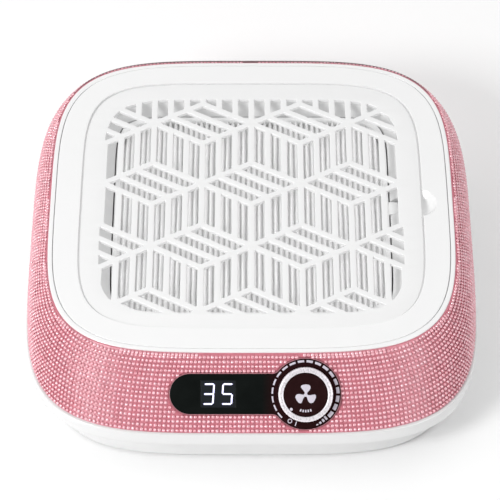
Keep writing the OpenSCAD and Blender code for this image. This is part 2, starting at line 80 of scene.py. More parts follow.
LIP_TOP = LIP_HIGH.z
GRILLE_W = GRILLE_HIGH.x - GRILLE_LOW.x
WINDOW_W = WELL_HIGH.x - WELL_LOW.x - 17 * MM
WINDOW_D = WINDOW_W - 2.2 * MM
WINDOW_Y = (WELL_LOW.y + WELL_HIGH.y) / 2
SIDE_BULGE = 2.9                              # how late the pink sides turn in on their way up
SKIRT_EDGE = 0.8 * MM                         # the skirt's top edge stands this far outside the rim
SLOPE_RUN = RIM_LOW.y - SKIRT_EDGE + SKIRT_D / 2
SLOPE = math.atan2(SKIRT_TOP - LIP_TOP, SLOPE_RUN)
CONTROLS_S = 0.497                            # the controls' middle, as a share of the slope
SLOPE_MID = Vector((0, CONTROLS_S * SLOPE_RUN - SKIRT_D / 2,
                    LIP_TOP + CONTROLS_S * (SKIRT_TOP - LIP_TOP)))
SLOPE_UP = Vector((0, math.cos(SLOPE), math.sin(SLOPE)))
SLOPE_OUT = Vector((0, -math.sin(SLOPE), math.cos(SLOPE)))


# ---------------------------------------------------------------- materials
def srgb(r, g, b):
    """Linear colour of an sRGB one, 0 to 255."""
    def line(v):
        v /= 255
        return v / 12.92 if v <= 0.04045 else ((v + 0.055) / 1.055) ** 2.4
    return (line(r), line(g), line(b), 1)


def surface(name, colour, rough, metal=0.0, coat=0.0, tint=0.03, grain=600, rough_range=0.05,
            bump=0.02, bump_grain=2500, stretch=(1, 1, 1), emission=0.0, shine=0.5, warm=None, ior=1.5):
    """A finish whose tone, roughness and relief vary slightly over the surface."""
    mat = bpy.data.materials.new(name)
    mat.use_nodes = True
    nodes, links = mat.node_tree.nodes, mat.node_tree.links
    shader = nodes["Principled BSDF"]
    shader.inputs["Metallic"].default_value = metal
    shader.inputs["Coat Weight"].default_value = coat
    shader.inputs["IOR"].default_value = ior
    shader.inputs["Coat Roughness"].default_value = 0.08
    shader.inputs["Specular IOR Level"].default_value = shine
    place = nodes.new("ShaderNodeTexCoord")
    scale = nodes.new("ShaderNodeMapping")
    scale.inputs["Scale"].default_value = stretch
    links.new(place.outputs["Object"], scale.inputs["Vector"])
    tone = nodes.new("ShaderNodeTexNoise")
    tone.inputs["Scale"].default_value = grain
    tone.inputs["Detail"].default_value = 3
    links.new(scale.outputs["Vector"], tone.inputs["Vector"])
    ramp = nodes.new("ShaderNodeValToRGB")
    low = [max(0, c * (1 - tint)) for c in colour[:3]]
    high = [min(1, c * (1 + tint)) for c in colour[:3]]
    ramp.color_ramp.elements[0].position = 0.3
    ramp.color_ramp.elements[0].color = (*low, 1)
    ramp.color_ramp.elements[1].position = 0.7
    ramp.color_ramp.elements[1].color = (*high, 1)
    links.new(tone.outputs["Fac"], ramp.inputs["Fac"])
    colour_out = ramp.outputs["Color"]
    if warm:
        side = nodes.new("ShaderNodeSeparateXYZ")
        share = nodes.new("ShaderNodeMapRange")
        share.inputs["From Min"].default_value = 0.006
        share.inputs["From Max"].default_value = 0.014
        blend = nodes.new("ShaderNodeMix")
        blend.data_type = "RGBA"
        blend.inputs["B"].default_value = warm
        links.new(place.outputs["Object"], side.inputs["Vector"])
        links.new(side.outputs["X"], share.inputs["Value"])
        links.new(share.outputs["Result"], blend.inputs["Factor"])
        links.new(colour_out, blend.inputs["A"])
        colour_out = blend.outputs["Result"]
    links.new(colour_out, shader.inputs["Base Color"])
    spread = nodes.new("ShaderNodeMapRange")
    spread.inputs["To Min"].default_value = max(0.02, rough - rough_range)
    spread.inputs["To Max"].default_value = min(1, rough + rough_range)
    links.new(tone.outputs["Fac"], spread.inputs["Value"])
    links.new(spread.outputs["Result"], shader.inputs["Roughness"])
    fine = nodes.new("ShaderNodeTexNoise")
    fine.inputs["Scale"].default_value = bump_grain
    fine.inputs["Detail"].default_value = 2
    links.new(scale.outputs["Vector"], fine.inputs["Vector"])
    relief = nodes.new("ShaderNodeBump")
    relief.inputs["Strength"].default_value = bump
    relief.inputs["Distance"].default_value = 0.0005
    links.new(fine.outputs["Fac"], relief.inputs["Height"])
    links.new(relief.outputs["Normal"], shader.inputs["Normal"])
    if emission:
        shader.inputs["Emission Color"].default_value = colour
        shader.inputs["Emission Strength"].default_value = emission
    return mat


WHITE = surface("white_gloss", srgb(241, 241, 241), 0.24, coat=0.35, tint=0.006, grain=60)
# The tray is the deck's white plastic made darker: painted shade on its front and plinth.
TRAY_SHADED_WHITE = surface("tray_white_painted_shade", srgb(225, 225, 225), 0.3, coat=0.25, tint=0.006, grain=60)
WHITE_GRILLE = surface("white_grille", srgb(238, 238, 238), 0.3, coat=0.2, tint=0.006, grain=90)
PINK_BASE = surface("pink_plastic", srgb(203, 120, 134), 0.35, tint=0.08, grain=300)
# Dark mauve for the stone sheet's top edge: painted shade along the line behind the rim.
SHEET_EDGE_SHADE = surface("sheet_edge", srgb(104, 72, 77), 0.45, tint=0.1, grain=400)
STONES = [surface(f"stone_{name}", srgb(*rgb), rough, coat=0.7, tint=0.06, grain=450, bump=0, ior=2.1)
          for name, rgb, rough in (("rose", (229, 153, 166), 0.24), ("light", (234, 167, 179), 0.22),
                                   ("deep", (221, 141, 154), 0.25))]
# The duct plastic is made darker than the plastic is: painted shade in the filter well under the grille.
DUCT = surface("duct_plastic", srgb(222, 222, 222), 0.5, tint=0.03, grain=150, bump=0.06)
FILTER_WHITE = surface("filter_plastic", srgb(247, 247, 247), 0.42, tint=0.01, grain=200)
PAPER = surface("filter_media", srgb(254, 254, 254), 0.85, tint=0.01, grain=900, bump=0.35,
                bump_grain=5200, rough_range=0.08)
BLACK = surface("fascia_black", srgb(18, 21, 20), 0.2, tint=0.12, grain=120, bump=0.004, shine=0.06,
                warm=srgb(38, 18, 19))
BEZEL = surface("bezel_pink", srgb(196, 132, 142), 0.35, coat=0.1, tint=0.03)
SMOKE = surface("window_smoke", srgb(35, 38, 41), 0.16, tint=0.08, grain=200, bump=0.004, shine=0.06)
GLOW = surface("digit_glow", srgb(215, 214, 250), 0.4, tint=0.02, emission=1.0)
PRINT = surface("print_white", srgb(206, 200, 212), 0.5, tint=0.03, grain=1500, bump=0.08)
CHROME = surface("knob_chrome", srgb(238, 233, 238), 0.28, metal=0.25, tint=0.03, grain=900, bump=0.05,
                 bump_grain=4200, stretch=(1, 1, 0.12))
CAP = surface("knob_black", srgb(38, 19, 20), 0.24, tint=0.15, grain=250, bump=0.01, shine=0.08)
RUBBER = surface("rubber", srgb(52, 52, 53), 0.8, tint=0.15, grain=900, bump=0.3)
SCREW = surface("screw_steel", srgb(196, 196, 198), 0.32, metal=1, tint=0.08, grain=1500, bump=0.08)
STEEL = surface("shaft_steel", srgb(205, 206, 208), 0.25, metal=1, tint=0.05, stretch=(1, 1, 8), bump=0.06)
FOAM = surface("foam", srgb(84, 84, 86), 0.95, tint=0.25, grain=1800, bump=0.6, bump_grain=3500)
BLOWER = surface("blower_plastic", srgb(48, 50, 52), 0.5, tint=0.1, grain=400, bump=0.1)
CAN = surface("can_steel", srgb(96, 100, 104), 0.38, metal=0.9, tint=0.08, bump=0.05)
MAGNET = surface("magnet", srgb(66, 66, 68), 0.6, metal=0.4, tint=0.15, bump=0.25)
ALLOY = surface("mount_alloy", srgb(186, 187, 190), 0.45, metal=1, tint=0.06, bump=0.2, bump_grain=1600)
LAMINATE = surface("lamination", srgb(134, 137, 142), 0.4, metal=1, tint=0.12, stretch=(1, 1, 12), bump=0.3)
COPPER = surface("copper", srgb(190, 108, 62), 0.35, metal=0.9, tint=0.2, stretch=(1, 1, 10), bump=0.5)
BOARD = surface("circuit_board", srgb(26, 92, 52), 0.4, coat=0.3, tint=0.3, grain=350, bump=0.12)
COMPONENT = surface("component", srgb(44, 45, 50), 0.45, tint=0.3, grain=350, bump=0.1)
LEAD = surface("lead", srgb(34, 34, 36), 0.5, tint=0.15, grain=700, bump=0.1)
JACK = surface("jack_plastic", srgb(30, 30, 32), 0.45, tint=0.15, grain=500, bump=0.12)
PIN = surface("plated_pin", srgb(228, 226, 220), 0.16, metal=1, tint=0.04, bump=0.03)

CAD_FINISH = {
    "white_gloss": WHITE, "rubber": RUBBER, "screw_steel": SCREW, "pink_plastic": PINK_BASE,
    "rhinestone": STONES[0], "duct_plastic": DUCT, "foam": FOAM, "filter_plastic": FILTER_WHITE,
    "filter_media": PAPER, "blower_plastic": BLOWER, "can_steel": CAN, "magnet": MAGNET,
    "shaft_steel": STEEL, "mount_alloy": ALLOY, "lamination": LAMINATE, "copper": COPPER,
    "circuit_board": BOARD, "component": COMPONENT, "lead": LEAD, "jack_plastic": JACK,
    "plated_pin": PIN, "bezel_pink": BEZEL, "fascia_black": BLACK, "window_smoke": SMOKE,
    "digit_glow": GLOW, "print_white": PRINT, "knob_chrome": CHROME, "knob_black": CAP,
}


def finish_cad_nodes():
    """Every carried-over CAD node gets the finish of its slot."""
    for part in frame["record"]["subparts"]:
        node = frame["nodes"][part["node"]]
        node.data.materials.clear()
        node.data.materials.append(CAD_FINISH[part["material_slot"]])


# ---------------------------------------------------------------- mesh helpers
def make_mesh(name, points, faces, materials, body, tones=None, smooth=True):
    """A mesh from an array of points and a list of (faces of equal size) arrays."""
    mesh = bpy.data.meshes.new(name)
    points = np.asarray(points, np.float32)
    sizes = np.concatenate([np.full(len(f), f.shape[1]) for f in faces])
    corners = np.concatenate([f.ravel() for f in faces]).astype(np.int32)
    mesh.vertices.add(len(points))
    mesh.vertices.foreach_set("co", points.ravel())
    mesh.loops.add(len(corners))
    mesh.loops.foreach_set("vertex_index", corners)
    mesh.polygons.add(len(sizes))
    starts = np.concatenate([[0], np.cumsum(sizes)[:-1]]).astype(np.int32)
    mesh.polygons.foreach_set("loop_start", starts)
    mesh.polygons.foreach_set("loop_total", sizes.astype(np.int32))
    for m in materials:
        mesh.materials.append(m)
    if tones is not None:
        mesh.polygons.foreach_set("material_index", tones.astype(np.int32))
    mesh.update(calc_edges=True)
    mesh.validate()
    if smooth:
        mesh.shade_smooth()
        mesh.set_sharp_from_angle(angle=SHARP)
    obj = bpy.data.objects.new(name, mesh)
    bpy.context.scene.collection.objects.link(obj)
    return settle(obj, body)


def settle(obj, body):
    """Says which body a piece rides on."""
    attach(obj, body)
    return obj


def outline(half_x, half_y, power, centre_y, shares):
    """Points of a rounded square at shares of its length, anticlockwise from +X."""
    t = np.linspace(0, TAU, 6001)
    x = half_x * np.sign(np.cos(t)) * np.abs(np.cos(t)) ** (2 / power)
    y = half_y * np.sign(np.sin(t)) * np.abs(np.sin(t)) ** (2 / power)
    run = np.concatenate([[0], np.cumsum(np.hypot(np.diff(x), np.diff(y)))])
    at = np.asarray(shares) * run[-1]
    return np.interp(at, run, x), np.interp(at, run, y) + centre_y


def round_corners(profile, steps=5):
    """A profile of (half, z, radius, ...) corners, each turned into an arc of that radius."""
    out = []
    n = len(profile)
    for i, corner in enumerate(profile):
        p = np.array(corner[:2], float)
        radius, rest = corner[2], corner[3:]
        if radius == 0:
            out.append((*p, *rest))
            continue
        a = np.array(profile[i - 1][:2], float) - p
        b = np.array(profile[(i + 1) % n][:2], float) - p
        a, b = a / np.linalg.norm(a), b / np.linalg.norm(b)
        half = math.acos(max(-1, min(1, float(a @ b)))) / 2
        centre = p + (a + b) / np.linalg.norm(a + b) * radius / math.sin(half)
        start, end = p + a * radius / math.tan(half), p + b * radius / math.tan(half)
        from_a = math.atan2(*(start - centre)[::-1])
        turn = (math.atan2(*(end - centre)[::-1]) - from_a + math.pi) % TAU - math.pi
        for k in range(steps + 1):
            angle = from_a + turn * k / steps
            out.append((centre[0] + radius * math.cos(angle),
                        centre[1] + radius * math.sin(angle), *rest))
    return out


def sweep(name, rings, material, body, capped=False):
    """A solid through closed rings of equal length; the last ring joins the first, or both are capped."""
    rings = [np.asarray(r) for r in rings]
    n, m = len(rings[0]), len(rings)
    i = np.arange(n)
    j = (i + 1) % n
    quads = []
    for k in range(m - 1 if capped else m):
        a, b = k * n, (k + 1) % m * n
        quads.append(np.stack([a + i, a + j, b + j, b + i], 1))
    faces = [np.concatenate(quads)]
    if capped:
        faces.append(i[::-1][None, :])
        faces.append(((m - 1) * n + i)[None, :])
    return make_mesh(name, np.concatenate(rings), faces, [material], body)


SHARES = np.arange(360) / 360


def square_ring(half_x, half_y, z, power, centre_y, shares=SHARES):
    """One level of a sweep: a rounded square at height z."""
    x, y = outline(half_x, half_y, power, centre_y, shares)
    return np.stack([x, y, np.full_like(x, z)], 1)


def cut(obj, cutters):
    """Takes the cutters out of obj, and removes them."""
    for c in cutters:
        mod = obj.modifiers.new("cut", "BOOLEAN")
        mod.operation = "DIFFERENCE"
        mod.solver = "EXACT"
        mod.object = c
    mesh = bpy.data.meshes.new_from_object(obj.evaluated_get(bpy.context.evaluated_depsgraph_get()))
    obj.modifiers.clear()
    obj.data = mesh
    mesh.set_sharp_from_angle(angle=SHARP)
    for c in cutters:
        bpy.data.objects.remove(c)


def rod_mesh(radius, start, end, sides=64):
    """A plain cylinder between two points, used as a cutter."""
    axis = (Vector(end) - Vector(start))
    turn = axis.to_track_quat("Z", "Y")
    ring = [Vector((radius * math.cos(TAU * k / sides), radius * math.sin(TAU * k / sides), 0))
            for k in range(sides)]
    points = [Vector(start) + turn @ p for p in ring] + [Vector(end) + turn @ p for p in ring]
    faces = [[k, (k + 1) % sides, sides + (k + 1) % sides, sides + k] for k in range(sides)]
    faces += [list(range(sides))[::-1], list(range(sides, 2 * sides))]
    mesh = bpy.data.meshes.new("cutter")
    mesh.from_pydata(points, [], faces)
    obj = bpy.data.objects.new("cutter", mesh)
    bpy.context.scene.collection.objects.link(obj)
    return obj


def box_mesh(low, high):
    """A plain box between two corners, used as a cutter."""
    mesh = bpy.data.meshes.new("cutter")
    points = [(x, y, z) for z in (low[2], high[2]) for x, y in
              ((low[0], low[1]), (high[0], low[1]), (high[0], high[1]), (low[0], high[1]))]
    mesh.from_pydata(points, [], [(3, 2, 1, 0), (4, 5, 6, 7), (0, 1, 5, 4),
                                  (1, 2, 6, 5), (2, 3, 7, 6), (3, 0, 4, 7)])
    obj = bpy.data.objects.new("cutter", mesh)
    bpy.context.scene.collection.objects.link(obj)
    return obj


# ---------------------------------------------------------------- base tray
def build_tray():
    """Plinth and lip in one moulding, with softly rounded lip edges; its white is darker than the deck's as
    painted shade. Profile: inset, height, radius in mm.
    """
    low, lip, top = LIP_LOW.z / MM, LIP_TOP / MM - 9.8, LIP_TOP / MM
    plinth, floor, ledge = 11, low + 3.3, lip + 2.5
    corners = round_corners([(60, low, 0), (plinth, low, 0.8), (plinth, lip, 0.6), (0, lip, 2.0),
                             (0, top, 0.7), (2.9, top, 0.3), (2.9, ledge, 0.5),
                             (13.4, ledge, 0.5), (13.4, floor, 0.8), (60, floor, 0)])
    rings = [square_ring(LIP_W / 2 - inset * MM, LIP_D / 2 - inset * MM, z * MM, SQUARE, 0)
             for inset, z in corners]
    tray = sweep("tray_moulding", rings, TRAY_SHADED_WHITE, "housing", capped=True)
    inner, outer, below = 0.11, 0.15, -0.001              # past both faces of the rear wall, and the floor
    gap = 0.2 * MM
    low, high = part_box("exhaust_grille")
    cutters = [box_mesh((low.x - gap, inner, low.z - gap), (high.x + gap, outer, high.z + gap))]
    low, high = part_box("dc_pin")
    x, z = (low.x + high.x) / 2, (low.z + high.z) / 2
    cutters.append(rod_mesh(5 * MM, (x, inner, z), (x, outer, z)))
    for node, inset, radius, top in (("rubber_feet", 8, 8.1, None), ("base_screws", 3, 3.4, 8 * MM)):
        low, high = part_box(node)
        for x in (low.x + inset * MM, high.x - inset * MM):
            for y in (low.y + inset * MM, high.y - inset * MM):
                cutters.append(rod_mesh(radius * MM, (x, y, below), (x, y, high.z if top is None else top)))
    cut(tray, cutters)
    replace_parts(tray, "base_tray")


# ---------------------------------------------------------------- top frame and deck
def build_rim():
    """The narrow rim that borders the deck, rounded outside and crisp at the groove."""
    half = RIM_W / 2 / MM
    low, top = SKIRT_TOP / MM, TOP_Z / MM
    edge, groove, ledge, back, wall = half - 2.6, half - 2.93, half - 8, half - 1.6, 56
    profile = [(half, low, 0.1), (half, top, 0.65), (edge, top, 0.25), (edge, top - 0.6, 0.1),
               (groove, top - 0.6, 0.05), (groove, top - 2.2, 0.1),
               (ledge, top - 2.2, 0.3), (ledge, wall, 0.3), (back, wall, 0.3), (back, low, 0)]
    rings = []
    for h, z in round_corners(profile):
        ring = square_ring(h * MM, h * MM, z * MM, SQUARE, RIM_Y)
        if half - 3 < h < half - 2.55 and top - 1 < z < top - 0.5:     # the groove is deeper at the sides
            ring[:, 2] -= 1.5 * MM * np.clip((abs(ring[:, 0]) / (h * MM) - 0.84) / 0.12, 0, 1)
        rings.append(ring)
    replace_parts(sweep("rim_moulding", rings, WHITE, "housing"), "top_frame")


def build_deck():
    """The deck round the grille, with the finger scoop pressed into it. Each corner of the profile has
    half width, height, radius, roundness, centre in y, and how much shorter than wide it is."""
    top = TOP_Z / MM
    outer = (DECK_HIGH.x - DECK_LOW.x) / 2 / MM
    pocket, wall, window = GRILLE_W / 2 / MM + 0.85, GRILLE_W / 2 / MM + 2.65, WINDOW_W / 2 / MM + 4
    tight = 0.65
    ledge = GRILLE_LOW.z / MM - 0.1
    under = max(DECK_LOW.z / MM, ledge - 1.9)
    corners = round_corners([
        (outer, top - 2.2, 0.2, SQUARE, RIM_Y, 0), (outer, top, 0.3, SQUARE, RIM_Y, 0),
        (pocket, top, 0.2, GRILLE_SQUARE, RIM_Y, tight), (pocket, ledge, 0.2, GRILLE_SQUARE, RIM_Y, tight),
        (window, ledge, 0.3, WINDOW_SQUARE, WINDOW_Y, 0), (window, under, 0.3, WINDOW_SQUARE, WINDOW_Y, 0),
        (wall, under, 0.3, GRILLE_SQUARE, RIM_Y, 0), (wall, top - 2.2, 0.3, GRILLE_SQUARE, RIM_Y, 0)],
        steps=4)
    near = np.linspace(-0.03, 0.03, 161)[:-1]             # closer points round the scoop
    shares = np.sort(np.concatenate([near % 1, np.linspace(0.03, 0.97, 480)]))
    innermost = min(range(len(corners)), key=lambda i: corners[i][:2])
    rings, upper = [], []
    for i, (a, b) in enumerate(zip(corners, corners[1:] + corners[:1])):
        steps = max(1, round(math.hypot(a[0] - b[0], a[1] - b[1]) / 1.1))
        for k in range(steps):
            h, z, power, cy, short = ((1 - k / steps) * u + k / steps * v for u, v in zip(a, b))
            rings.append(square_ring(h * MM, (h - short) * MM, z * MM, power, cy, shares))
            upper.append(i < innermost)
    upper = np.repeat(upper, len(shares))
    points = np.concatenate(rings)
    scoop_r, skin = 12.14 * MM, 1.4 * MM
    centre = np.array([GRILLE_W / 2 - 2.2 * MM, RIM_Y - 2 * MM, TOP_Z + 5.14 * MM])
    reach = np.hypot(points[:, 0] - centre[0], points[:, 1] - centre[1])
    cup = centre[2] - np.sqrt(np.maximum(scoop_r ** 2 - reach ** 2, 0))
    shell = centre[2] - np.sqrt(np.maximum((scoop_r + skin) ** 2 - reach ** 2, 0))
    inside = points[:, 0] < centre[0] - 0.2 * MM
    floor = np.where(inside, under * MM + 0.3 * MM, 0)
    z = points[:, 2]
    pressed = np.where((reach < scoop_r) & upper, np.maximum(np.minimum(z, cup), floor), z)
    points[:, 2] = np.where((reach < scoop_r + skin) & ~upper & ~inside, np.minimum(z, shell), pressed)
    deck = sweep("deck_moulding", points.reshape(-1, len(shares), 3), WHITE, "housing")
    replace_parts(deck, "top_deck")


# ---------------------------------------------------------------- grille
RHOMB = 34.15 * MM                            # side of a block's rhombus
BAR = 3.6 * MM                                # width of a slat
LEAST_SLOT = 2.5e-6                           # square metres; a smaller slot stays closed


def clip_convex(polygon, border):
    """The part of a convex polygon inside a convex, anticlockwise border."""
    for a, b in zip(border, np.roll(border, -1, 0)):
        edge = b - a
        inside = [edge[0] * (p[1] - a[1]) - edge[1] * (p[0] - a[0]) for p in polygon]
        kept = []
        for k, p in enumerate(polygon):
            q, dp, dq = polygon[(k + 1) % len(polygon)], inside[k], inside[(k + 1) % len(polygon)]
            if dp >= 0:
                kept.append(p)
            if dp * dq < 0:
                kept.append(p + (q - p) * dp / (dp - dq))
        polygon = kept
        if len(polygon) < 3:
            return []
    return polygon


def soften(polygon, radius, steps=3):
    """Rounds the corners of a polygon where its sides are long enough."""
    out = []
    n = len(polygon)
    for i, p in enumerate(polygon):
        a, b = polygon[i - 1] - p, polygon[(i + 1) % n] - p
        la, lb = np.linalg.norm(a), np.linalg.norm(b)
        if min(la, lb) < 1e-7:
            continue
        a, b = a / la, b / lb
        cosine = float(np.clip(a @ b, -1, 1))
        half = math.acos(cosine) / 2
        if half > math.radians(80):                       # nearly straight
            out.append(p)
            continue
        reach = min(radius / math.tan(half), 0.45 * la, 0.45 * lb)
        for k in range(steps + 1):
            t = k / steps
            out.append((1 - t) ** 2 * (p + a * reach) + 2 * t * (1 - t) * p
                       + t * t * (p + b * reach))
    return out


def lattice_slots():
    """The slots of the tumbling-block lattice, clipped to the window."""
    x, y = outline(WINDOW_W / 2, WINDOW_D / 2, WINDOW_SQUARE, WINDOW_Y, np.arange(160) / 160)
    border = np.stack([x, y], 1)
    row_y = WINDOW_Y + 67.5 * MM
    pitch, margin = RHOMB * math.sqrt(3), BAR / 2 / math.sin(math.radians(60))
    slots = []
    for row in range(-1, 5):
        for column in range(-3, 4):
            hub = np.array([pitch * (column + abs(row) % 2 / 2), row_y - 1.5 * RHOMB * row])
            for along, across in ((-30, 30), (90, 30), (90, 150)):
                e1, e2 = (np.array([math.cos(math.radians(a)), math.sin(math.radians(a))])
                          for a in (along, across))
                for k in range(3):
                    q0, q1 = k * RHOMB / 3 + margin, (k + 1) * RHOMB / 3 - margin
                    shape = [hub + margin * e1 + q0 * e2, hub + (RHOMB - margin) * e1 + q0 * e2,
                             hub + (RHOMB - margin) * e1 + q1 * e2, hub + margin * e1 + q1 * e2]
                    shape = clip_convex(shape, border)
                    if len(shape) > 2 and area_of(shape) > LEAST_SLOT:
                        slots.append(soften(shape, 0.5 * MM))
    return slots


def area_of(polygon):
    """Area of a flat polygon, whichever way it turns."""
    p = np.array(polygon)
    q = np.roll(p, -1, 0)
    return abs(float(np.sum(p[:, 0] * q[:, 1] - p[:, 1] * q[:, 0]))) / 2


def plate_from(name, outlines, thick, bevel, material, body, place=None, steps=3):
    """A flat plate with bevelled edges from closed 2D outlines; outlines inside others are holes.
    Its top face is at z 0 before place moves it."""
    curve = bpy.data.curves.new(name, "CURVE")
    curve.dimensions = "2D"
    curve.fill_mode = "BOTH"
    curve.extrude = thick / 2 - bevel
    curve.bevel_depth = bevel
    curve.bevel_resolution = steps
    curve.offset = -bevel
    for points in outlines:
        spline = curve.splines.new("POLY")
        spline.points.add(len(points) - 1)
        flat = np.zeros((len(points), 4))
        flat[:, :2] = np.asarray(points)[:, :2]
        flat[:, 3] = 1
        spline.points.foreach_set("co", flat.ravel())
        spline.use_cyclic_u = True
    shape = bpy.data.objects.new(name, curve)
    bpy.context.scene.collection.objects.link(shape)
    mesh = bpy.data.meshes.new_from_object(shape.evaluated_get(bpy.context.evaluated_depsgraph_get()))
    bpy.data.objects.remove(shape)
    co = np.zeros(len(mesh.vertices) * 3)
    mesh.vertices.foreach_get("co", co)
    co = co.reshape(-1, 3)
    co[:, 2] -= thick / 2
    if place is not None:
        co = place(co)
    mesh.vertices.foreach_set("co", co.ravel())
    mesh.materials.clear()
    mesh.materials.append(material)
    weld(mesh)
    mesh.shade_smooth()
    mesh.set_sharp_from_angle(angle=SHARP)
    obj = bpy.data.objects.new(name, mesh)
    bpy.context.scene.collection.objects.link(obj)
    return settle(obj, body)


def weld(mesh):
    """Joins the doubled points of a mesh and turns its faces outwards."""
    bm = bmesh.new()
    bm.from_mesh(mesh)
    bmesh.ops.remove_doubles(bm, verts=bm.verts, dist=2e-6)
    bmesh.ops.recalc_face_normals(bm, faces=bm.faces)
    bm.to_mesh(mesh)
    bm.free()


def build_grille():
    """The grille cover: a bevelled plate with the lattice's slots. It doesn't shade what lies under it
    from diffuse light."""
    x, y = outline(GRILLE_W / 2, GRILLE_W / 2, GRILLE_SQUARE, RIM_Y, SHARES)
    border = np.stack([x, y], 1)
    top = GRILLE_HIGH.z
    grille = plate_from("grille_moulding", [border, *lattice_slots()], top - GRILLE_LOW.z, 0.4 * MM,
                        WHITE_GRILLE, "grille", lambda p: p + [0, 0, top])
    grille.visible_diffuse = False
    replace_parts(grille, "grille_cover")


# ---------------------------------------------------------------- filter
PLEAT_DEPTH = 4.5 * MM


def build_pleats():
    """Pleated paper with rounded folds that run front to back and waver slightly."""
    low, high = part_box("filter_pleats")
    count, steps, stations, sharpness = 49, 12, 26, 0.985
    across = np.linspace(0, 1, count * steps + 1)
    wave = np.arcsin(sharpness * np.cos(across * count * TAU)) / math.asin(sharpness)
    upper = high.z - (1 - wave) / 2 * PLEAT_DEPTH
    lower = upper - (high.z - low.z - PLEAT_DEPTH)
    ring_z = np.concatenate([upper, lower[::-1]])
    x0 = low.x + across * (high.x - low.x)
    middle, half_y = (low.y + high.y) / 2, (high.y - low.y) / 2
    sway = rng.normal(0, 0.1 * MM, (count + 2, stations))
    rows = []
    for k, share in enumerate(np.linspace(-1, 1, stations)):
        bend = np.interp(across * count, np.arange(count + 2), sway[:, k] + 0.4 * sway[:, k - 1])
        bend *= np.sin(math.pi * across) ** 0.2
        ring_x = np.concatenate([x0 + bend, (x0 + bend)[::-1]])
        corner = np.clip(1 - abs(ring_x / high.x) ** FILTER_SQUARE, 0.02, 1) ** (1 / FILTER_SQUARE)
        rows.append(np.stack([ring_x, middle + share * half_y * corner, ring_z], 1))
    sheet = sweep("pleat_sheet", rows[::-1], PAPER, "filter", capped=True)
    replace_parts(sheet, "filter_pleats")


def build_filter_frame():
    """The cassette's frame, a rounded ring with a lip under the pleats."""
    half = (FILTER_HIGH.x - FILTER_LOW.x) / 2 / MM
    low, top = FILTER_LOW.z / MM, FILTER_HIGH.z / MM
    profile = [(half, low, 0.6), (half, top, 0.7), (half - 3, top, 0.7), (half - 3, low + 1.4, 0.2),
               (half - 7, low + 1.4, 0.2), (half - 7, low, 0.3)]
    rings = [square_ring(h * MM, h * MM, z * MM, FILTER_SQUARE, WINDOW_Y)
             for h, z in round_corners(profile)]
    ring = sweep("cassette_frame", rings, FILTER_WHITE, "filter")
    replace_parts(ring, "filter_frame")


# ---------------------------------------------------------------- stones
STONE_PITCH, ROW_PITCH = 2.45 * MM, 2.6 * MM  # along a row, and from row to row
FIRST_ROW = 1.35 * MM                         # from the lip to the lowest row's middle
DISC_X, DISC_R = 30.4 * MM, 20 * MM           # the fascia's disc, round the knob
BAND_X, BAND_H = -46.2 * MM, 22.8 * MM        # the left end and the height of its band


def skirt_grid(columns, levels):
    """Points on the pink skirt: levels from the lip to the rim, columns round the body."""
    shares = np.arange(columns) / columns
    grid = np.zeros((levels, columns, 3))
    for k, s in enumerate(np.linspace(0, 1, levels)):
        g = s ** SIDE_BULGE
        half = (1 - g) * SKIRT_W / 2 + g * (RIM_W / 2 + SKIRT_EDGE)
        front = (1 - s) * -SKIRT_D / 2 + s * (RIM_LOW.y - SKIRT_EDGE)
        rear = (1 - g) * SKIRT_D / 2 + g * (RIM_HIGH.y + SKIRT_EDGE)
        z = (1 - s) * LIP_TOP + s * SKIRT_TOP
        grid[k] = square_ring(half, (rear - front) / 2, z, SQUARE, (front + rear) / 2, shares)
    return grid


def fascia_distance(points):
    """Distance outside the fascia's outline of points on the front slope; far away elsewhere."""
    rel = points - np.array(SLOPE_MID)
    u, v, w = rel[:, 0], rel @ np.array(SLOPE_UP), rel @ np.array(SLOPE_OUT)
    disc = np.hypot(u - DISC_X, v) - DISC_R
    band = np.hypot(u - np.clip(u, BAND_X + BAND_H / 2, DISC_X), v) - BAND_H / 2
    return np.where(abs(w) < 8 * MM, np.minimum(disc, band), 1.0)




def place_stones():
    """Centres, normals and row directions of the stones: a square mesh whose rows follow the lip."""
    levels = 61
    base = outline(SKIRT_W / 2, SKIRT_D / 2, SQUARE, 0, np.linspace(0, 1, 721))
    run = np.hypot(*(np.diff(v) for v in base)).sum()
    columns = round(0.975 * run / STONE_PITCH)            # the pitch holds a little above the base
    grid = skirt_grid(columns, levels)
    climb = np.concatenate([np.zeros((1, columns)),
                            np.cumsum(np.linalg.norm(np.diff(grid, axis=0), axis=2), axis=0)])
    along = np.roll(grid, -1, 1) - np.roll(grid, 1, 1)
    normal = np.cross(along, np.gradient(grid, axis=0))
    normal /= np.linalg.norm(normal, axis=2, keepdims=True)
    c = np.arange(columns)
    centres, normals, tangents = [], [], []
    for row in range(int(climb[-1].max() / ROW_PITCH) + 1):
        distance = FIRST_ROW + row * ROW_PITCH
        height = np.minimum(distance, climb[-1] - 0.8 * MM)
        level = np.array([np.interp(height[k], climb[:, k], np.arange(levels)) for k in c])
        k = np.minimum(level.astype(int), levels - 2)
        part = (level - k)[:, None]
        keep = climb[-1] > distance - 0.25 * ROW_PITCH
        centres.append(((1 - part) * grid[k, c] + part * grid[k + 1, c])[keep])
        normals.append(((1 - part) * normal[k, c] + part * normal[k + 1, c])[keep])
        tangents.append(along[k, c][keep])
    centres, normals, tangents = (np.concatenate(v) for v in (centres, normals, tangents))
    keep = fascia_distance(centres) > 1.0 * MM
    return centres[keep], normals[keep], tangents[keep]


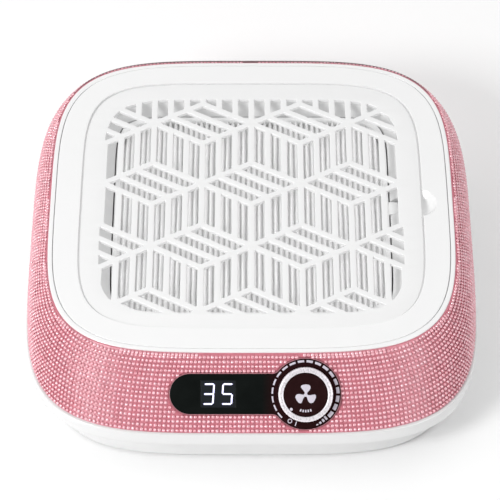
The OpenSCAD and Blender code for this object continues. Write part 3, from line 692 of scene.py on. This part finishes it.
def build_sheet_edge():
    """The upper edge of the stone sheet, which stands out behind the rim and fades towards the front; its
    dark colour is painted shade.
    """
    x, y = outline(RIM_W / 2 + SKIRT_EDGE, RIM_W / 2 + SKIRT_EDGE, SQUARE, RIM_Y, SHARES)
    nx, ny = np.gradient(y), -np.gradient(x)
    long = np.hypot(nx, ny)
    starts, fade = 85 * MM, 34 * MM                       # behind the rim's middle
    reach = 2.1 * MM * np.clip((y - RIM_Y - starts) / fade, 0.02, 1)
    rings = []
    for out, z in ((-0.3, -1.6), (1, -1.4), (1, -0.25), (0.85, -0.1), (-0.3, -0.1)):
        rings.append(np.stack([x + nx / long * reach * out, y + ny / long * reach * out,
                               np.full_like(x, SKIRT_TOP + z * MM)], 1))
    sweep("stone_sheet_edge", rings, SHEET_EDGE_SHADE, "housing")


def build_stones():
    """Thousands of flat-backed cut stones: an eight-sided table over sixteen crown facets."""
    centres, normals, tangents = place_stones()
    count = len(centres)
    eight = TAU * np.arange(8) / 8
    rings = [(0.90, 0.02, 0), (1.0, 0.22, 0), (0.50, 0.92, TAU / 16)]
    gem = np.concatenate([np.stack([r * np.cos(eight + a), r * np.sin(eight + a), np.full(8, z)], 1)
                          for r, z, a in rings])
    k = np.arange(8)
    j = (k + 1) % 8
    belt = np.stack([k, j, 8 + j, 8 + k], 1)
    crown = np.concatenate([np.stack([8 + k, 8 + j, 16 + k], 1), np.stack([8 + j, 16 + j, 16 + k], 1)])
    ends = np.stack([k[::-1], 16 + k])
    sideways = np.clip((abs(normals[:, :1]) - 0.12) / 0.4, 0, 1)
    up = normals + rng.normal(0, 1, (count, 3)) * (0.08 + 0.08 * sideways)
    up /= np.linalg.norm(up, axis=1, keepdims=True)
    for lamp in (KEY, SHEEN_RIGHT):                       # a few stones flash at the camera
        halfway = np.array((Vector(VIEW) + lamp).normalized())
        glint = (rng.random(count) < 0.012) & (up @ halfway > 0.78)
        up[glint] = halfway + rng.normal(0, 0.02, (glint.sum(), 3))
    up /= np.linalg.norm(up, axis=1, keepdims=True)
    side = tangents - up * np.sum(tangents * up, 1, keepdims=True)
    side /= np.linalg.norm(side, axis=1, keepdims=True)
    spin = rng.uniform(0, TAU / 8, count)[:, None]
    third = np.cross(up, side)
    e1 = side * np.cos(spin) + third * np.sin(spin)
    e2 = np.cross(up, e1)
    radius = 0.5 * STONE_PITCH * rng.uniform(0.98, 1.02, count)[:, None, None]
    height = (0.95 + 0.1 * sideways[:, None]) * MM
    gem_x, gem_y, gem_z = (gem[None, :, i:i + 1] for i in range(3))
    points = (centres[:, None, :] + radius * (gem_x * e1[:, None, :] + gem_y * e2[:, None, :])
              + height * gem_z * up[:, None, :])
    tone = rng.choice(3, count, p=[0.5, 0.28, 0.22])
    turn = (np.arctan2(centres[:, 1], centres[:, 0]) / TAU) % 1
    sectors = 8
    for sector in range(sectors):
        chosen = np.flatnonzero((turn * sectors).astype(int) == sector)
        base = (np.arange(len(chosen)) * 24)[:, None, None]
        faces = [(base + f[None]).reshape(-1, f.shape[1]) for f in (belt, crown, ends)]
        tones = np.concatenate([np.repeat(tone[chosen], len(f)) for f in (belt, crown, ends)])
        stones = make_mesh(f"stones_{sector}", points[chosen].reshape(-1, 3), faces, STONES, "housing",
                           tones, smooth=False)
        if sector == 0:
            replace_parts(stones, "rhinestone_skin")
    return count


# ---------------------------------------------------------------- controls on the front slope
def on_slope(points):
    """Points given as x along the front, y up the slope and z out of it, in the object's frame."""
    p = np.asarray(points, float)
    return (np.array(SLOPE_MID) + p[:, :1] * np.array([1.0, 0, 0]) + p[:, 1:2] * np.array(SLOPE_UP)
            + p[:, 2:] * np.array(SLOPE_OUT))


def arc(cx, cy, radius, a0, a1, steps):
    """Points on an arc from a0 to a1 degrees."""
    angles = np.radians(np.linspace(a0, a1, steps))
    return np.stack([cx + radius * np.cos(angles), cy + radius * np.sin(angles)], 1)


def fascia_outline(grow=0.0):
    """Capsule that runs into the dial's disc, with a small fillet where they meet."""
    fillet = 5 * MM
    reach = math.sqrt((DISC_R + fillet) ** 2 - (BAND_H / 2 + fillet) ** 2)
    turn = math.degrees(math.atan2(BAND_H / 2 + fillet, -reach))
    cx, cy = DISC_X - reach, BAND_H / 2 + fillet
    disc = arc(DISC_X, 0, DISC_R + grow, -turn, turn, 120)
    upper = arc(cx, cy, fillet - grow, turn - 180, -90, 9)[1:]
    left = arc(BAND_X + BAND_H / 2, 0, BAND_H / 2 + grow, 90, 270, 48)
    lower = arc(cx, -cy, fillet - grow, 90, 180 - turn, 9)[:-1]
    return np.concatenate([disc, upper, left, lower])


def slope_plate(name, outlines, top, thick, bevel, material, body, steps=3):
    """A bevelled plate on the front slope, its face at the given height above it."""
    return plate_from(name, outlines, thick, bevel, material, body,
                      lambda p: on_slope(p + [0, 0, top]), steps)


DIGIT_X = -18.95 * MM                         # the display's middle
WINDOW_HALF = (9.7 * MM, 7.7 * MM)
FASCIA_TOP = 0.9 * MM                         # the fascia's face above the slope


def window_outline(grow, radius):
    """The display window's outline, a rounded box."""
    half_x, half_y = WINDOW_HALF[0] + grow, WINDOW_HALF[1] + grow
    corners = [np.array([sx * half_x, sy * half_y]) for sx, sy in ((-1, -1), (1, -1), (1, 1), (-1, 1))]
    return np.array(soften(corners, radius, 4)) + [DIGIT_X, 0]


def build_fascia():
    """The black panel with its holes, the fine border round it and the display's lens."""
    hole = arc(DISC_X, 0, 5 * MM, 0, 354, 60)
    panel = slope_plate("fascia_plate", [fascia_outline(), window_outline(0.1 * MM, 0.6 * MM), hole],
                        FASCIA_TOP, 2 * MM, 0.35 * MM, BLACK, "housing")
    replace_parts(panel, "fascia_panel")
    bezel = slope_plate("fascia_edge", [fascia_outline(0.34 * MM), fascia_outline(0.04 * MM)],
                        0.95 * MM, 2.1 * MM, 0.12 * MM, BEZEL, "housing", 2)
    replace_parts(bezel, "fascia_bezel")
    lens = slope_plate("display_lens", [window_outline(0, 0.5 * MM)],
                       0.8 * MM, 1.9 * MM, 0.15 * MM, SMOKE, "housing")
    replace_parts(lens, "display_window")


def segment(cx, cy, length, upright, lean):
    """A pointed bar of a seven-segment digit, leaning to the right."""
    t, half = 0.46 * MM, length / 2
    shape = [(-half, 0), (-half + t, -t), (half - t, -t), (half, 0), (half - t, t), (-half + t, t)]
    out = []
    for a, b in shape:
        x, y = (b, a) if upright else (a, b)
        out.append(np.array([cx + x + lean * (cy + y), cy + y]))
    return out if not upright else out[::-1]


def build_digits():
    """The digits 3 and 5. Segments go clockwise from the top, and the middle one comes last."""
    height, width, stroke, lean = 12.2, 6.4, 1.0, 0.07
    h, w = (height - stroke) / 2 * MM, (width - stroke) / 2 * MM
    places = [(0, h, 0), (w, h / 2, 1), (w, -h / 2, 1), (0, -h, 0),
              (-w, -h / 2, 1), (-w, h / 2, 1), (0, 0, 0)]
    shapes = []
    for centre, lit in ((-5.25, (0, 1, 6, 2, 3)), (5.25, (0, 5, 6, 2, 3))):
        for k in lit:
            x, y, upright = places[k]
            length = (h if upright else 2 * w) - 0.1 * MM
            shapes.append(segment(DIGIT_X + centre * MM + x, y, length, upright, lean))
    digits = slope_plate("digit_segments", shapes, 0.94 * MM, 0.16 * MM, 0.04 * MM, GLOW, "housing",
                         1)
    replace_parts(digits, "display_digits")


def ring_sector(radius, thick, centre_angle, half_angle, steps=8):
    """A stretch of a ring round the knob's axis."""
    outer = arc(DISC_X, 0, radius, centre_angle - half_angle, centre_angle + half_angle, steps)
    inner = arc(DISC_X, 0, radius - thick, centre_angle + half_angle, centre_angle - half_angle, steps)
    return np.concatenate([outer, inner])


def round_dot(radius, angle, size, start=0, end=350):
    """A circle of 36 points at a radius and an angle from the knob's axis."""
    at = math.radians(angle)
    return arc(DISC_X + radius * math.cos(at), radius * math.sin(at), size, start, end, 36)


def build_dial_marks():
    """Dashes that grow from the off end to the full end, a ring with a bar, and four rising bars."""
    shapes = []
    dashes, first, step = 18, 219.6, 15.2
    for k in range(dashes):
        grow = (k / (dashes - 1)) ** 1.5
        shapes.append(ring_sector(19.2 * MM, (0.85 + 1.2 * grow) * MM, first - step * k, 5.5))
    shapes += [round_dot(17.6 * MM, 240, 1.3 * MM), round_dot(17.6 * MM, 240, 0.85 * MM, 350, 0)]
    shapes.append(ring_sector(18.9 * MM, 2.6 * MM, 252, 0.8))
    for k in range(4):
        shapes.append(ring_sector(18.8 * MM, 0.6 * (k + 1) * MM, 291 + 6.4 * k, 1.9))
    marks = slope_plate("dial_print", shapes, FASCIA_TOP + 0.08 * MM, 0.1 * MM, 0.02 * MM,
                        PRINT, "housing", 1)
    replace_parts(marks, "dial_marks")


def turned(profile, steps, ripple=None):
    """Rings about the knob's axis from (radius, height) points; ripple changes the radii of one."""
    angles = np.arange(steps) / steps * TAU
    rings = []
    for r, z in profile:
        radii = r if ripple is None else ripple(r, z, angles)
        rings.append(on_slope(np.stack([DISC_X + radii * np.cos(angles), radii * np.sin(angles),
                                        np.full(steps, z)], 1)))
    return rings


def build_knob_ring():
    """The bright ring, knurled on its outer wall."""
    bottom, top, inner, outer = 1.3, 7.3, 12.5, 15.4
    corners = [(inner, bottom, 0.2), (outer, bottom, 0.5), (outer, top, 0.9), (inner, top, 0.6)]
    teeth = 60

    def knurl(r, z, angles):
        bite = np.clip((r / MM - 14.6) / 0.5, 0, 1) * (1 if 2 < z / MM < 6.4 else 0.3)
        return r - 0.22 * MM * bite * (1 - np.abs(np.sin(angles * teeth / 2))) ** 1.5 * 2

    profile = [(r * MM, z * MM) for r, z in round_corners(corners, 6)]
    dense = []
    for a, b in zip(profile, profile[1:] + profile[:1]):
        dense.append(a)
        if abs(a[1] - b[1]) > 2 * MM:                     # the walls need more points
            dense += [(a[0] + (b[0] - a[0]) * t, a[1] + (b[1] - a[1]) * t) for t in (0.15, 0.5, 0.85)]
    grip = sweep("knob_grip", turned(dense, 720, knurl), CHROME, "knob")
    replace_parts(grip, "knob_ring")


def build_knob_cap():
    """The dished dark cap inside the ring."""
    profile = [(0.02, 1.3), (12.45, 1.3), (12.45, 6.45), (12.2, 6.7), (11.9, 6.72), (11.6, 6.66),
               (9, 6.6), (5, 6.58), (0.02, 6.58)]
    dense = []
    for a, b in zip(profile, profile[1:]):
        n = max(1, round(math.hypot(a[0] - b[0], a[1] - b[1]) / 1.2))
        dense += [((1 - k / n) * a[0] + k / n * b[0], (1 - k / n) * a[1] + k / n * b[1]) for k in range(n)]
    dense.append(profile[-1])
    rings = turned([(r * MM, z * MM) for r, z in dense], 180)
    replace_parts(sweep("knob_face", rings, CAP, "knob", capped=True), "knob_cap")


def build_knob_print():
    """Fan emblem with five short dashes under it, and the pointer dot."""
    shapes = []
    for k in range(3):
        turn = TAU / 3 * k
        blade = blade_outline()
        c, s = math.cos(turn), math.sin(turn)
        shapes.append(np.stack([DISC_X + c * blade[:, 0] - s * blade[:, 1],
                                s * blade[:, 0] + c * blade[:, 1]], 1))
    shapes += [ring_sector(9.8 * MM, 1.4 * MM, 270 + 9 * k, 2.6, 4) for k in range(-2, 3)]
    emblem = slope_plate("fan_emblem", shapes, 6.84 * MM, 0.26 * MM, 0.05 * MM,
                         PRINT, "knob", 2)
    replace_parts(emblem, "knob_emblem")
    slope_plate("fan_emblem_hub", [arc(DISC_X, 0, 1.05 * MM, 0, 350, 36)], 6.85 * MM, 0.26 * MM, 0.05 * MM,
                PRINT, "knob", 2)
    pointer = slope_plate("pointer_dot", [round_dot(11.5 * MM, 225, 0.85 * MM)], 6.88 * MM, 0.26 * MM,
                          0.08 * MM, PRINT, "knob")
    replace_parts(pointer, "knob_pointer")


def blade_outline():
    """One petal of the fan emblem: narrow at the hub, wide and skewed outside."""
    left = [(-0.35, 0.3), (-0.55, 1.2), (-1.2, 2.4), (-2.1, 3.4), (-2.75, 4.3), (-2.6, 5.1), (-1.6, 5.7)]
    right = [(0.2, 5.95), (1.8, 5.7), (2.6, 4.9), (2.7, 3.8), (2.1, 2.6), (1.1, 1.6), (0.45, 0.4)]
    return np.array(left + right)[::-1] * MM


# ---------------------------------------------------------------- stage, light and camera
def plain(name, colour, rough):
    """An even matt finish, for the floor."""
    mat = bpy.data.materials.new(name)
    mat.use_nodes = True
    shader = mat.node_tree.nodes["Principled BSDF"]
    shader.inputs["Base Color"].default_value = colour
    shader.inputs["Roughness"].default_value = rough
    shader.inputs["Specular IOR Level"].default_value = 0.2
    return mat


def area_light(name, place, aim, side, power):
    """A square lamp of that side, in metres, turned towards a point."""
    data = bpy.data.lights.new(name, "AREA")
    data.shape = "SQUARE"
    data.size = side
    data.energy = power
    obj = bpy.data.objects.new(name, data)
    obj.location = place
    obj.rotation_euler = (Vector(aim) - Vector(place)).to_track_quat("-Z", "Y").to_euler()
    bpy.context.scene.collection.objects.link(obj)
    return obj


def build_stage():
    """The floor, the surround, one lamp for all light and two that only reflections see."""
    mesh = bpy.data.meshes.new("floor")
    far = 4
    mesh.from_pydata([(-far, -far, 0), (far, -far, 0), (far, far, 0), (-far, far, 0)], [], [(0, 1, 2, 3)])
    mesh.materials.append(plain("floor_white", (1, 1, 1, 1), 0.9))
    floor = bpy.data.objects.new("floor", mesh)
    bpy.context.scene.collection.objects.link(floor)
    scene = bpy.context.scene
    scene.view_settings.view_transform = "Standard"
    build_sky(scene)
    aim = (0, 0, 0.03)
    area_light("key_left", 2 * KEY, aim, 0.55, 17.5)
    for name, way, power in (("sheen_left", SHEEN_LEFT, 24.0), ("sheen_right", SHEEN_RIGHT, 18.0)):
        area_light(name, 2.1 * way, aim, 0.9, power).visible_diffuse = False


def build_sky(scene):
    """An even white surround that is dark only round the camera, as a dark room behind a lens is."""
    world = bpy.data.worlds.new("soft_white")
    world.use_nodes = True
    nodes, links = world.node_tree.nodes, world.node_tree.links
    place = nodes.new("ShaderNodeTexCoord")
    facing = nodes.new("ShaderNodeVectorMath")
    facing.operation = "DOT_PRODUCT"
    facing.inputs[1].default_value = VIEW
    links.new(place.outputs["Generated"], facing.inputs[0])
    fade = nodes.new("ShaderNodeMapRange")
    fade.interpolation_type = "SMOOTHSTEP"
    fade.inputs["From Min"].default_value = math.cos(math.radians(38))
    fade.inputs["From Max"].default_value = math.cos(math.radians(18))
    fade.inputs["To Min"].default_value = SKY
    fade.inputs["To Max"].default_value = 0.05
    links.new(facing.outputs["Value"], fade.inputs["Value"])
    links.new(fade.outputs["Result"], nodes["Background"].inputs["Strength"])
    nodes["Background"].inputs["Color"].default_value = (1, 1, 1, 1)
    scene.world = world


def build_camera():
    """A long lens at the height that the object is seen from."""
    distance = 1.6
    data = bpy.data.cameras.new("camera")
    data.lens = 197.5
    data.sensor_width = 36
    data.clip_end = 20
    target = Vector((-0.0009, -0.0265, TOP_Z))
    obj = bpy.data.objects.new("camera", data)
    obj.location = target + distance * Vector(VIEW)
    obj.rotation_euler = (target - obj.location).to_track_quat("-Z", "Y").to_euler()
    bpy.context.scene.collection.objects.link(obj)
    bpy.context.scene.camera = obj


build_camera()
build_stage()
finish_cad_nodes()
build_tray()
build_rim()
build_deck()
build_grille()
build_filter_frame()
build_pleats()
build_sheet_edge()
print("stones", build_stones())
build_fascia()
build_digits()
build_dial_marks()
build_knob_ring()
build_knob_cap()
build_knob_print()
